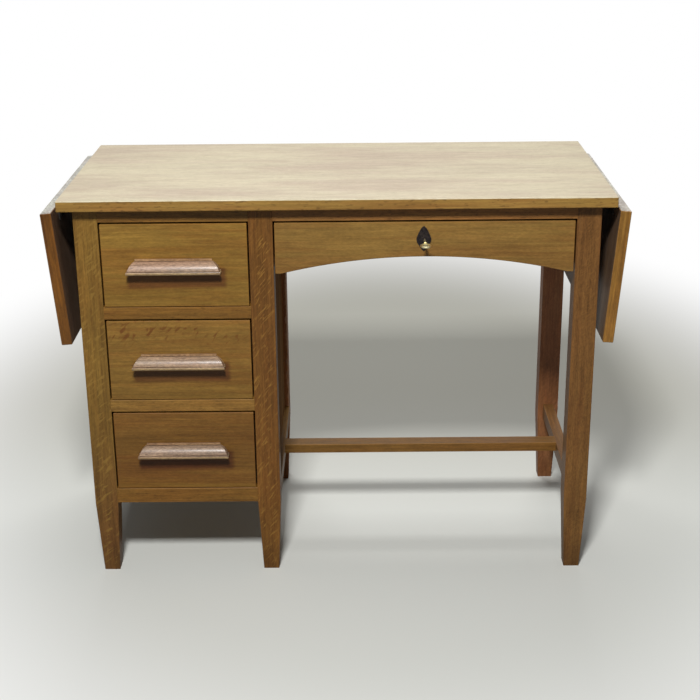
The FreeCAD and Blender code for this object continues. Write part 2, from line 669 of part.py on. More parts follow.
def hinge_half(side, first, y):
    """One flap of a butt hinge about a pin along Y at the origin, its middle at y.

    side is the way that the flap points along X.  first is the number of its first knuckle: the half
    that has the end knuckles holds the pin, and the other half turns on it.
    """
    plate_z = ("pin_drop - hinge_plate", "pin_drop")
    start = "(knuckle_radius + knuckle_gap)"
    span = (start, "hinge_flap") if side > 0 else ("-hinge_flap", f"-{start}")
    parts = [box(span, (f"{y} - hinge_length / 2", f"{y} + hinge_length / 2"), plate_z)]
    pitch = "((hinge_length + knuckle_gap) / 5)"
    for number in range(first, 5, 2):
        low = f"({y} - hinge_length / 2 + {number} * {pitch})"
        width = (low, f"{low} + {pitch} - knuckle_gap")
        parts.append(rod("knuckle_radius", "0", width, "0", ALONG_Y))
        parts.append(box(("0", start) if side > 0 else (f"-{start}", "0"), width, plate_z))
    ends = (f"{y} - hinge_length / 2", f"{y} + hinge_length / 2")
    if first == 0:
        return fuse(*parts, rod("pin_radius", "0", ends, "0", ALONG_Y))
    return cut(fuse(*parts), rod("pin_radius + pin_play", "0", ends, "0", ALONG_Y))


def leaves():
    """Two leaves that hang below the ends of the top, with their hinges.

    A leaf is made round its hinge pins as it lies when raised, and turned down to where it hangs. Its
    weight lies outside the pins, so it leans in under the top. The left leaf hangs further out.
    """
    lean = "90 deg + asin(leaf_tuck / leaf_length)"
    away = "(top_depth / 2 - hinge_inset - hinge_length / 2)"
    plates = []
    for name, side in (("left", -1), ("right", 1)):
        out = "left_pin_out" if side < 0 else "0"
        start, end = f"joint_gap / 2 - {out}", f"joint_gap / 2 - {out} + leaf_length"
        x = (start, end) if side > 0 else (f"-({end})", f"-({start})")
        board = ease(box(x, ("-top_depth / 2", "top_depth / 2"), ("pin_drop", "pin_drop + top_thick")),
                     size("edge_ease"))
        flaps = [hinge_half(side, 1, f"-{away}"), hinge_half(side, 1, away)]
        for label, parts in ((f"leaf_{name}", [board]), (f"hinge_flaps_{name}", flaps)):
            turned = group(*parts)
            turned.Placement.Rotation = FreeCAD.Rotation(FreeCAD.Vector(0, side, 0), 1)
            bind(turned, Placement__Rotation__Angle=lean)
            piece(label, put(turned, f"{side} * ({PIN_X} + {out})", MIDDLE, PIN_Z))
        for y in (f"-{away}", away):
            plates.append(put(group(hinge_half(-side, 0, y)), f"{side} * ({PIN_X} + {out})", MIDDLE, PIN_Z))
    piece("hinge_plates_top", group(*plates))


def lopers():
    """A loper at each end that slides out under a raised leaf, and the grooved guides it runs in."""
    half = "(loper_width / 2)"
    low = f"({UNDER} - top_rail)"
    ledge_top = f"({low} + loper_ledge)"
    guides = []
    for name, side, wall, face in (
            ("left", -1, f"({OUTER} + panel_recess + panel_thick)", f"({OUTER} + panel_recess)"),
            ("right", 1, APRON_IN, APRON_OUT)):
        tip = f"({side} * ({HALF} - loper_inset))"
        root = f"({tip} - {side} * loper_length)"
        x = (tip, root) if side < 0 else (root, tip)
        bar = box(x, (f"{MIDDLE} - {half}", f"{MIDDLE} + {half}"), (f"{ledge_top} + slide_gap", f"{UNDER} - slide_gap"))
        finger = rod("finger_radius", f"{tip} - {side} * finger_radius * 1.8",
                     (f"{MIDDLE} - {half} - 1", f"{MIDDLE} + {half} + 1"),
                     f"{ledge_top} + slide_gap - finger_radius * 0.55", ALONG_Y)
        piece(f"loper_{name}", cut(bar, finger))
        window = box((f"{face} - 30", f"{face} + 30"), (f"{MIDDLE} - {half} - slide_gap", f"{MIDDLE} + {half} + slide_gap"),
                     (ledge_top, UNDER))
        let_in(window, "panel_outer" if side < 0 else "apron_right")
        end = f"({wall} - {side} * (loper_length - {'panel_thick' if side < 0 else 'apron_thick'}))"
        span = (wall, end) if side < 0 else (end, wall)
        for hand in (-1, 1):
            inner = f"({MIDDLE} + {hand} * ({half} + slide_gap))"
            outer = f"({inner} + {hand} * guide_width)"
            lip = f"({inner} - {hand} * guide_width / 2)"
            y_body = (inner, outer) if hand > 0 else (outer, inner)
            y_lip = (lip, outer) if hand > 0 else (outer, lip)
            guides.append(fuse(box(span, y_body, (low, UNDER)), box(span, y_lip, (low, ledge_top))))
    piece("loper_guides", group(*guides))


def finish():
    """Cut what is let into each piece, check every object, and write the pieces."""
    finished = {}
    for label, part in pieces.items():
        tools = cutters.get(label, [])
        whole = cut(part, *tools) if tools else part
        if not tools and part.TypeId == "Part::Box":
            whole = group(part)
        whole.Label = label
        finished[label] = whole
    doc.recompute()
    for thing in doc.Objects:
        if "Invalid" in thing.State or "Error" in thing.State:
            raise RuntimeError(f"{thing.Name} ({thing.Label}) failed: {thing.State}")
    os.makedirs("parts", exist_ok=True)
    for label, whole in finished.items():
        if whole.Shape.isNull() or not whole.Shape.isValid() or not whole.Shape.Solids:
            raise RuntimeError(f"{label} has no valid solid")
    for label, whole in finished.items():
        whole.Shape.exportStep(f"parts/{label}.step")
    print(len(finished), "pieces,", sum(len(whole.Shape.Solids) for whole in finished.values()), "solids")


frame()
top()
runners_and_stops()
pedestal_drawers()
kneehole_drawer()
leaves()
lopers()
finish()
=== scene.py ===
"""Looks of the drop-leaf pedestal writing desk.

Oak of several tones, beech and pale oak inside, and fittings of brass, bronze, iron and steel.
Lengths are in metres and tones are linear RGB.
"""
import json
import math
import random
from dataclasses import dataclass

import bmesh
import bpy
from mathutils import Matrix, Vector


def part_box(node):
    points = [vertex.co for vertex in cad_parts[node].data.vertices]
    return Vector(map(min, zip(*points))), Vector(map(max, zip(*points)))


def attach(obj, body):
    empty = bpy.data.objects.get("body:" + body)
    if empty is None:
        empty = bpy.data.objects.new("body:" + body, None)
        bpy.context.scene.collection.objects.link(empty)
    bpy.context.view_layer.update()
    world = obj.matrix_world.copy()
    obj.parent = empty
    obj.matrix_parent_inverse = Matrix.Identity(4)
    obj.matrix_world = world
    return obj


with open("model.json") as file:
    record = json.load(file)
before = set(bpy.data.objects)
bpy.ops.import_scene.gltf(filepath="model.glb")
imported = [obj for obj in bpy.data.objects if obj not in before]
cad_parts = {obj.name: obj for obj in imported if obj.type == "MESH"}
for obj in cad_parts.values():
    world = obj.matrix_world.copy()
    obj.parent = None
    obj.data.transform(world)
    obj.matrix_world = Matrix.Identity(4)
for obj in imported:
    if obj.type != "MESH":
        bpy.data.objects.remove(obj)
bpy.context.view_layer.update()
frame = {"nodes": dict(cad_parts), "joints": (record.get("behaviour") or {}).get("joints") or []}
NODES = frame["nodes"]

SIDES = {"left": -1, "right": 1}  # and the way along X that each side faces
PEDESTAL = ("upper", "middle", "lower")
DRAWERS = (*PEDESTAL, "knee")
X, Z = 0, 2

JOINTS = {joint["child"]: joint for joint in frame["joints"]}
PINS = {side: Vector(JOINTS[f"leaf_{side}"]["pos_m"]) for side in SIDES}
# A raised leaf is level, so a hanging one leans by what its range goes past a right angle
LEAN = math.radians(JOINTS["leaf_left"]["range_deg"][1] - 90)


# ---------------------------------------------------------------- shader helpers
class Tree:
    """Short ways to add shader nodes to one node tree."""

    def __init__(self, tree):
        self.tree = tree

    def node(self, kind, **settings):
        made = self.tree.nodes.new("ShaderNode" + kind)
        for name, value in settings.items():
            setattr(made, name, value)
        return made

    def plug(self, socket, value):
        if isinstance(value, bpy.types.NodeSocket):
            self.tree.links.new(value, socket)
        else:
            socket.default_value = value

    def fed(self, made, *values):
        """A node with values or links in its first inputs."""
        for socket, value in zip(made.inputs, values):
            self.plug(socket, value)
        return made

    def math(self, operation, *values):
        return self.fed(self.node("Math", operation=operation), *values).outputs[0]

    def vector(self, operation, *values):
        made = self.fed(self.node("VectorMath", operation=operation), *values)
        return made.outputs["Value" if operation in ("LENGTH", "DOT_PRODUCT") else "Vector"]

    def split(self, vector):
        return self.fed(self.node("SeparateXYZ"), vector).outputs

    def join(self, x, y, z=0.0):
        return self.fed(self.node("CombineXYZ"), x, y, z).outputs[0]

    def noise(self, place, scale, detail=2.0, rough=0.5, twist=0.0):
        """Noise stretched by a scale along each axis, about 0.5 on average."""
        made = self.node("TexNoise")
        self.plug(made.inputs["Vector"], self.vector("MULTIPLY", place, scale))
        made.inputs["Scale"].default_value = 1.0
        made.inputs["Detail"].default_value = detail
        made.inputs["Roughness"].default_value = rough
        made.inputs["Distortion"].default_value = twist
        return made.outputs["Fac"]

    def span(self, value, low, high, to_low=0.0, to_high=1.0, smooth=True):
        """One range mapped onto another, and held at its ends."""
        made = self.node("MapRange", interpolation_type="SMOOTHSTEP" if smooth else "LINEAR")
        return self.fed(made, value, low, high, to_low, to_high).outputs[0]

    def mix(self, share, a, b, blend="MIX"):
        made = self.node("Mix", data_type="RGBA", blend_type=blend)
        made.clamp_result = False
        self.plug(made.inputs[0], share)
        self.plug(made.inputs[6], colour(a))
        self.plug(made.inputs[7], colour(b))
        return made.outputs[2]

    def scaled(self, value, factor):
        return self.math("MULTIPLY", value, factor)

    def tinted(self, shade, factors):
        return self.mix(1.0, shade, factors, "MULTIPLY")

    def swing(self, noise, amount):
        """Noise about zero."""
        return self.scaled(self.math("SUBTRACT", noise, 0.5), amount)

    def spread(self, noise, amount):
        """Noise about one."""
        return self.span(noise, 0.3, 0.7, 1 - amount, 1 + amount)

    def blend(self, share, first, second):
        """A share of the first value and the rest of the second."""
        return self.math("ADD", self.scaled(first, share), self.scaled(second, 1 - share))

    def mix_shaders(self, share, first, second):
        return self.fed(self.node("MixShader"), share, first.outputs[0], second.outputs[0]).outputs[0]

    def bump(self, shader, height, strength, distance):
        made = self.node("Bump")
        made.inputs["Strength"].default_value = strength
        made.inputs["Distance"].default_value = distance
        self.plug(made.inputs["Height"], height)
        self.plug(shader.inputs["Normal"], made.outputs[0])

    def edge_distance(self, place, low, high):
        """How far a point on a box lies from the box's nearest edge."""
        centre = [(a + b) / 2 for a, b in zip(low, high)]
        half = [(b - a) / 2 for a, b in zip(low, high)]
        offset = self.vector("ABSOLUTE", self.vector("SUBTRACT", place, centre))
        inside = self.vector("SUBTRACT", half, offset)
        x, y, z = self.split(inside)
        smallest = self.math("MINIMUM", self.math("MINIMUM", x, y), z)
        largest = self.math("MAXIMUM", self.math("MAXIMUM", x, y), z)
        total = self.vector("DOT_PRODUCT", inside, (1, 1, 1))
        # on a face the smallest is zero, and the middle one leads to the nearest edge
        return self.math("SUBTRACT", self.math("SUBTRACT", total, smallest), largest)


def colour(value):
    """A tone with its alpha, or the link that it is."""
    return (*value, 1.0) if isinstance(value, tuple) and len(value) == 3 else value


def times(tone, *factors):
    """A tone times one factor, or times one for each channel."""
    factors = factors * 3 if len(factors) == 1 else factors
    return tuple(max(0.0, min(1.0, c * f)) for c, f in zip(tone, factors))


def new_material(name):
    """An empty material with its node tree and its shader."""
    material = bpy.data.materials.new(name)
    material.use_nodes = True
    material.node_tree.nodes.clear()
    tree = Tree(material.node_tree)
    shader = tree.node("BsdfPrincipled")
    output = tree.node("OutputMaterial")
    tree.plug(output.inputs["Surface"], shader.outputs[0])
    return material, tree, shader


def dress(node, material):
    """Gives a CAD node one material in all its slots."""
    slots = NODES[node].data.materials
    if not slots:
        slots.append(material)
    for i in range(len(slots)):
        slots[i] = material


def extent(points):
    """The lowest and the highest corner of some points."""
    low = Vector(min(p[i] for p in points) for i in range(3))
    high = Vector(max(p[i] for p in points) for i in range(3))
    return low, high


# ---------------------------------------------------------------- wood
# How often each pattern repeats in a metre, along the grain and then across it both ways
WANDER = (2.2, 11, 11)
COARSE_LINES = (5, 240, 240)
FINE_LINES = (16, 1150, 1150)
BROAD_CLOUDS = (3.5, 26, 26)
MOTTLE = (26, 130, 130)
FLECKS = (160, 480, 480)
RED_CLOUDS = (3, 16, 16)
RED_STREAKS = (7, 130, 130)
FACE_LINES = (14, 260, 260)
FACE_SPECKS = (60, 500, 500)
FACE_CLOUDS = (2.5, 11, 11)
FACE_STREAKS = (9, 60, 60)
RAY_PATCHES = (9, 60, 60)
PORES = (70, 2300, 2300)
SPOTS = (75, 260, 260)
RAGGED_EDGE = (60, 150, 150)
DIRT = (40, 90, 90)

AXES = {"X": (0, 1, 2), "Y": (1, 0, 2), "Z": (2, 0, 1)}  # along the grain, then across it
BOARD_SHIFT = 9.0  # each piece is cut from its own place in the wood, up to this far away
RING_AXIS = (0.0, 0.013, 0.031)
RING_RATE = 520.0  # radians in a metre out from that axis
GRAIN_SWAY = 0.016  # how far the grain lines wander in all
END_TONE_SWAY, SHADOW_AND_GRIME_SWAY, FACE_SWAY = 0.12, 0.004, 0.002  # and the limits of the end tones, of the painted shadow and dirt under the pulls, and of faces
FACE_EDGE = (-0.0008, 0.0006)  # where a face of another tone sets in and is full, about its depth
WEAR_AND_HIGHLIGHT_START = 0.004  # half the height over which the rubbed and highlit edges set in
DIRT_HEIGHT = 0.09
RELIEF_DEPTH = 0.0004
LINE_RELIEF, RAY_RELIEF, PORE_RELIEF = 0.35, 0.25, 0.7  # shares of that depth
VARNISH_IOR, VARNISH_ROUGH = 1.47, 0.22

# Factors of the base tone
RING_TONE = (0.62, 0.56, 0.5)
PORE_TONE = (0.32, 0.26, 0.22)
SPOT_TONE = (0.28, 0.22, 0.2)
DIRT_TONE = (0.4, 0.36, 0.36)
# Factors of the tone that they lie on
YELLOWER, REDDER = (1.06, 1.09, 1.04), (0.93, 0.78, 0.74)
PALER, GREYER = (1.02, 1.03, 1.02), (0.87, 0.81, 0.84)
FACE_DARKER, FACE_BRIGHTER = (0.91, 0.895, 0.87), (1.07, 1.08, 1.09)


@dataclass
class Look:
    """How one piece of wood looks.

    The tones of its details are factors of its base tone, and heights count from its lower edge.
    """

    base: tuple
    grain: str = "X"  # the axis of the desk that the grain follows
    contrast: float = 0.2  # of the grain lines
    figure: float = 0.12  # of the broad clouds
    speck: float = 0.1  # of the small flecks
    tint: float = 0.5  # share of redder clouds
    rings: float = 0.0  # share of plain-sawn bands
    rays: float = 0.0  # share of medullary rays
    ray_tone: tuple = (1.9, 1.6, 1.25)
    ray_tilt: float = 50.0  # degrees
    ray_size: tuple = (62.0, 400.0)  # repeats in a metre, along a ray and across it
    ray_band: tuple = None  # the heights between which the rays set in
    ray_twist: float = 0.6
    ray_cut: tuple = (0.53, 0.62)  # where in the noise a ray starts and is full
    pores: float = 0.35
    spots: float = 0.0
    faces: tuple = ()  # for each face of another tone: axis, way, tone, depth
    fade: tuple = None  # a tone towards the lower end, painted shade and light on some pieces: height where it is full, height where it ends, factors
    pull_shadow_and_grime: tuple = None  # painted shadow and dirt under a pull: middle, half size, reach, factors, seen from the front
    wear_and_highlight: float = 0.3  # share of the edge tone: rubbed edges, and on some pieces a painted highlight along a lit arris
    wear_and_highlight_tone: tuple = (1.5, 1.45, 1.3)
    wear_and_highlight_width: float = 0.0022
    wear_and_highlight_from: float = None  # no edge tone below this height
    foot: float = 0.0  # share of grime near the floor
    rough: float = 0.42
    gloss: float = 0.12
    shine: float = 0.25
    relief: float = 0.25
    box: tuple = None  # the piece's own box, where it isn't the frame's
    upright: tuple = None  # a pin and the angle that turns a leaning piece upright


class Wood:
    """A wood material in layers. Its figure lies in the solid, so it goes through every face."""

    def __init__(self, name, look):
        self.name = name
        self.look = look
        self.material, self.tree, self.shader = new_material(name)
        self.box = look.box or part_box(name)
        self.bottom = self.box[0].z
        self.face = None  # where the last face of another tone lies
        self.worn_and_lit = None  # where the edges are rubbed, and on some pieces painted with a highlight
        self.set_out()
        self.grain_lines()
        if look.rings:
            self.ring_bands()
        if look.tint:
            self.red_clouds()
        for face in look.faces:
            self.toned_face(*face)
        if look.fade:
            self.tone_towards_end(*look.fade)
        if look.pull_shadow_and_grime:
            self.shadow_and_grime(*look.pull_shadow_and_grime)
        self.clouds()
        if look.rays:
            self.medullary_rays()
        if look.pores:
            self.open_pores()
        if look.spots:
            self.dark_spots()
        if look.wear_and_highlight:
            self.worn_and_highlit_edges()
        if look.foot:
            self.dirty_foot()
        self.surface()

    def lay(self, share, tone):
        """Lays a tone over what is there."""
        self.shade = self.tree.mix(share, self.shade, tone)

    def set_out(self):
        """Places in the desk, in the board and along its wandering grain lines."""
        t = self.tree
        self.place = t.node("TexCoord").outputs["Object"]
        if self.look.upright:
            pin, angle = self.look.upright
            spin = t.node("VectorRotate", rotation_type="AXIS_ANGLE")
            t.plug(spin.inputs["Vector"], self.place)
            spin.inputs["Center"].default_value = pin
            spin.inputs["Axis"].default_value = (0, 1, 0)
            spin.inputs["Angle"].default_value = angle
            self.place = spin.outputs[0]
        self.parts = t.split(self.place)
        luck = random.Random(self.name)
        shift = tuple(luck.uniform(-BOARD_SHIFT, BOARD_SHIFT) for _ in range(3))
        self.board = t.vector("ADD", t.join(*(self.parts[axis] for axis in AXES[self.look.grain])), shift)
        self.drift = t.noise(self.board, WANDER)
        sway = t.swing(self.drift, GRAIN_SWAY)
        self.lines = t.vector("ADD", self.board, t.join(0.0, sway, sway))

    def grain_lines(self):
        t, base, contrast = self.tree, self.look.base, self.look.contrast
        self.coarse = t.noise(self.lines, COARSE_LINES, 3.0, 0.6)
        fine = t.noise(self.lines, FINE_LINES)
        line = t.span(t.blend(0.62, self.coarse, fine), 0.33, 0.67)
        dark = times(base, 1 - contrast, 1 - 1.15 * contrast, 1 - 1.3 * contrast)
        pale = times(base, 1 + contrast, 1 + contrast, 1 + 0.9 * contrast)
        self.shade = t.mix(line, dark, pale)
        self.height = t.scaled(line, LINE_RELIEF)

    def ring_bands(self):
        """Plain-sawn bands: slices through long rings about an axis beyond the board."""
        t = self.tree
        drawn_out = t.vector("MULTIPLY", self.lines, (0.06, 1, 1))
        radius = t.vector("LENGTH", t.vector("ADD", drawn_out, RING_AXIS))
        wave = t.math("SINE", t.scaled(radius, RING_RATE))
        bands = t.span(t.math("ADD", wave, t.scaled(self.drift, 1.4)), 0.2, 1.7)
        self.lay(t.scaled(bands, self.look.rings), times(self.look.base, *RING_TONE))

    def red_clouds(self):
        """Clouds and long streaks of a redder brown."""
        t = self.tree
        cloud = t.blend(0.55, t.noise(self.board, RED_CLOUDS), t.noise(self.lines, RED_STREAKS, 3.0))
        share = t.scaled(t.span(cloud, 0.4, 0.62), self.look.tint)
        self.shade = t.mix(share, t.tinted(self.shade, YELLOWER), t.tinted(self.shade, REDDER))

    def toned_face(self, axis, way, tone, depth):
        """A face of another tone than the rest of the board, turned by sunlight or rubbing; a leaf's darker
        inner face is painted shade, and its pale joint edge partly a painted sheen.
        """
        t = self.tree
        low, high = self.box
        surface = (high if way > 0 else low)[axis]
        out = t.scaled(t.math("SUBTRACT", self.parts[axis], surface), float(way))
        out = t.math("ADD", out, t.swing(self.coarse, FACE_SWAY))
        self.face = t.span(out, *(edge - depth for edge in FACE_EDGE))
        streak = t.span(t.noise(self.lines, FACE_LINES, 3.0, 0.6), 0.3, 0.7)
        speck = t.span(t.noise(self.board, FACE_SPECKS), 0.3, 0.7)
        darker, brighter = times(tone, *FACE_DARKER), times(tone, *FACE_BRIGHTER)
        other = t.mix(t.blend(0.76, streak, speck), darker, brighter)
        cloud = t.noise(self.board, FACE_CLOUDS, 3.0, 0.6)
        cloud = t.blend(0.78, cloud, t.noise(self.lines, FACE_STREAKS, 3.0, 0.6))
        clouded = t.mix(t.span(cloud, 0.4, 0.64), t.tinted(other, PALER), t.tinted(other, GREYER))
        self.lay(self.face, clouded)

    def tone_towards_end(self, full, end, factors):
        """Another tone towards the lower end of the piece; on the drawer fronts and the back right leg it
        is painted shade and light by height.
        """
        t = self.tree
        level = t.math("ADD", self.parts[Z], t.swing(self.drift, END_TONE_SWAY))
        share = t.span(level, self.bottom + full, self.bottom + end, 1.0, 0.0)
        self.lay(share, t.tinted(self.shade, factors))

    def shadow_and_grime(self, middle, half, reach, factors):
        """Darkened round and under a pull: a painted shadow below it, and some dirt where hands have
        reached.
        """
        t = self.tree
        away = []
        for axis, place, size in zip((X, Z), middle, half):
            offset = t.math("ABSOLUTE", t.math("SUBTRACT", self.parts[axis], place))
            away.append(t.math("MAXIMUM", t.math("SUBTRACT", offset, size), 0.0))
        near = t.math("ADD", t.vector("LENGTH", t.join(*away)), t.swing(self.coarse, SHADOW_AND_GRIME_SWAY))
        self.lay(t.span(near, 0.0, reach, 1.0, 0.0), t.tinted(self.shade, factors))

    def clouds(self):
        """Lighter and darker clouds, mottling and flecks."""
        t = self.tree
        broad = t.spread(t.noise(self.board, BROAD_CLOUDS), self.look.figure)
        mottle = t.spread(t.noise(self.board, MOTTLE, 3.0, 0.6), self.look.figure)
        fleck = t.spread(t.noise(self.board, FLECKS, 2.0, 0.6), self.look.speck)
        light = t.math("MULTIPLY", t.math("MULTIPLY", broad, mottle), fleck)
        grey = t.fed(t.node("CombineColor"), light, light, light)
        self.shade = t.tinted(self.shade, grey.outputs[0])

    def medullary_rays(self):
        """Flecks that slant across the grain."""
        t, look = self.tree, self.look
        along, one, other = t.split(self.lines)
        across = t.math("ADD", one, other)
        level, rise = (across, along) if look.grain == "Z" else (along, across)
        tilt = math.radians(look.ray_tilt)
        c, s = math.cos(tilt), math.sin(tilt)
        u = t.math("ADD", t.scaled(level, c), t.scaled(rise, s))
        v = t.math("SUBTRACT", t.scaled(rise, c), t.scaled(level, s))
        rays = t.span(t.noise(t.join(u, v), (*look.ray_size, 1), 1.5, 0.5, look.ray_twist), *look.ray_cut)
        rays = t.math("MULTIPLY", rays, t.span(t.noise(self.board, RAY_PATCHES), 0.36, 0.6, 0.15, 1.0))
        if look.ray_band:
            band = t.span(self.parts[Z], *(self.bottom + height for height in look.ray_band))
            rays = t.math("MULTIPLY", rays, band)
        self.lay(t.scaled(rays, look.rays), times(look.base, *look.ray_tone))
        self.height = t.math("ADD", self.height, t.scaled(rays, RAY_RELIEF))

    def open_pores(self):
        t = self.tree
        holes = t.span(t.noise(self.lines, PORES, 1.0), 0.56, 0.68)
        self.lay(t.scaled(holes, self.look.pores), times(self.look.base, *PORE_TONE))
        self.height = t.math("SUBTRACT", self.height, t.scaled(holes, PORE_RELIEF))

    def dark_spots(self):
        """Small dark marks, nearly all of them off the face of another tone."""
        t = self.tree
        marks = t.span(t.noise(self.board, SPOTS), 0.58, 0.68)
        if self.face is not None:
            marks = t.math("MULTIPLY", marks, t.math("SUBTRACT", 1.0, t.scaled(self.face, 0.9)))
        self.lay(t.scaled(marks, self.look.spots), times(self.look.base, *SPOT_TONE))

    # Rubbed edges; on the top's upper arris and the back middle leg also a painted highlight of lit
    # arrises.
    def worn_and_highlit_edges(self):
        t, look = self.tree, self.look
        ragged = t.span(t.noise(self.board, RAGGED_EDGE, 3.0, 0.65), 0.3, 0.75, 0.1, 1.9, smooth=False)
        edge = t.math("DIVIDE", t.edge_distance(self.place, *self.box), t.scaled(ragged, look.wear_and_highlight_width))
        self.worn_and_lit = t.scaled(t.span(edge, 0.35, 1.0, 1.0, 0.0), look.wear_and_highlight)
        if look.wear_and_highlight_from:
            start = self.bottom + look.wear_and_highlight_from
            above = t.span(self.parts[Z], start - WEAR_AND_HIGHLIGHT_START, start + WEAR_AND_HIGHLIGHT_START)
            self.worn_and_lit = t.math("MULTIPLY", self.worn_and_lit, above)
        self.lay(self.worn_and_lit, times(look.base, *look.wear_and_highlight_tone))

    def dirty_foot(self):
        """Grime and scuffs near the floor."""
        t = self.tree
        low_down = t.span(self.parts[Z], 0.0, DIRT_HEIGHT, self.look.foot, 0.0)
        patches = t.span(t.noise(self.board, DIRT, 3.0), 0.3, 0.7, 0.4, 1.0)
        self.lay(t.math("MULTIPLY", low_down, patches), times(self.look.base, *DIRT_TONE))

    def surface(self):
        """The tone so far, its roughness, its relief and its varnish."""
        t, look, inputs = self.tree, self.look, self.shader.inputs
        dull = t.span(self.coarse, 0.25, 0.75, look.rough - 0.06, look.rough + 0.1)
        if self.worn_and_lit is not None:
            dull = t.math("ADD", dull, t.scaled(self.worn_and_lit, 0.14))
        t.plug(inputs["Base Color"], self.shade)
        t.plug(inputs["Roughness"], dull)
        t.bump(self.shader, self.height, look.relief, RELIEF_DEPTH)
        inputs["IOR"].default_value = VARNISH_IOR
        inputs["Specular IOR Level"].default_value = look.shine
        inputs["Coat Weight"].default_value = look.gloss
        inputs["Coat Roughness"].default_value = VARNISH_ROUGH


# ---------------------------------------------------------------- tones and looks of the wood
FACE = (0.565, 0.49, 0.342)  # the bleached face of the top
FRONT = (0.215, 0.115, 0.022)
RAIL = (0.17, 0.085, 0.018)
GOLDEN = (0.185, 0.1, 0.02)
BROWN = (0.14, 0.062, 0.013)
PANEL = (0.12, 0.06, 0.018)
DARK = (0.24, 0.098, 0.038)
LEAF = (0.225, 0.108, 0.02)
LEAF_FACE = (0.36, 0.24, 0.10)  # less bleached than the top, because it hangs out of the light
# a leaf's inner face, darkened as painted shade
LEAF_INNER_SHADE = (0.125, 0.085, 0.06)
JOINT = (0.55, 0.56, 0.50)  # the edge where leaf and top meet, pale as bare wood and paler still with a painted sheen
PULL = (0.30, 0.20, 0.14)
PULL_SHADES = {"upper": (1, 1, 1), "middle": (1.04, 1.05, 1.02), "lower": (0.87, 0.87, 0.88)}
FILLET = (0.40, 0.24, 0.12)
LIP = (0.40, 0.28, 0.135)
PULL_SHADOW_AND_GRIME = (0.56, 0.42, 0.52)  # factors of what it lies on, for the painted shadow and dirt under a pull
BEECH = (0.36, 0.23, 0.11)
SIDE = (0.40, 0.28, 0.14)

# The painted shadow and dirt lie under a pull and a little to its right, and thin out over its reach
SHADOW_AND_GRIME_ASIDE = 0.004
SHADOW_AND_GRIME_BELOW = 0.01
SHADOW_AND_GRIME_INSET = 0.001
SHADOW_AND_GRIME_HALF_HEIGHT = 0.014
SHADOW_AND_GRIME_REACH = 0.01

QUARTER = dict(grain="Z", foot=0.35, contrast=0.22)
WORN = dict(wear_and_highlight_tone=(1.5, 1.5, 1.6))
SAWN = dict(contrast=0.16, figure=0.09, pores=0.22, tint=0.7, wear_and_highlight_tone=(1.35, 1.0, 0.8))
BARE = dict(tint=0.0, gloss=0.0, rough=0.6, shine=0.2, wear_and_highlight=0.2)
OUTER_PANEL = Look(PANEL, grain="Z", rings=0.3, gloss=0.0, rough=0.55)
LOPER = Look(times(BEECH, 1.05), gloss=0.05, rough=0.5)

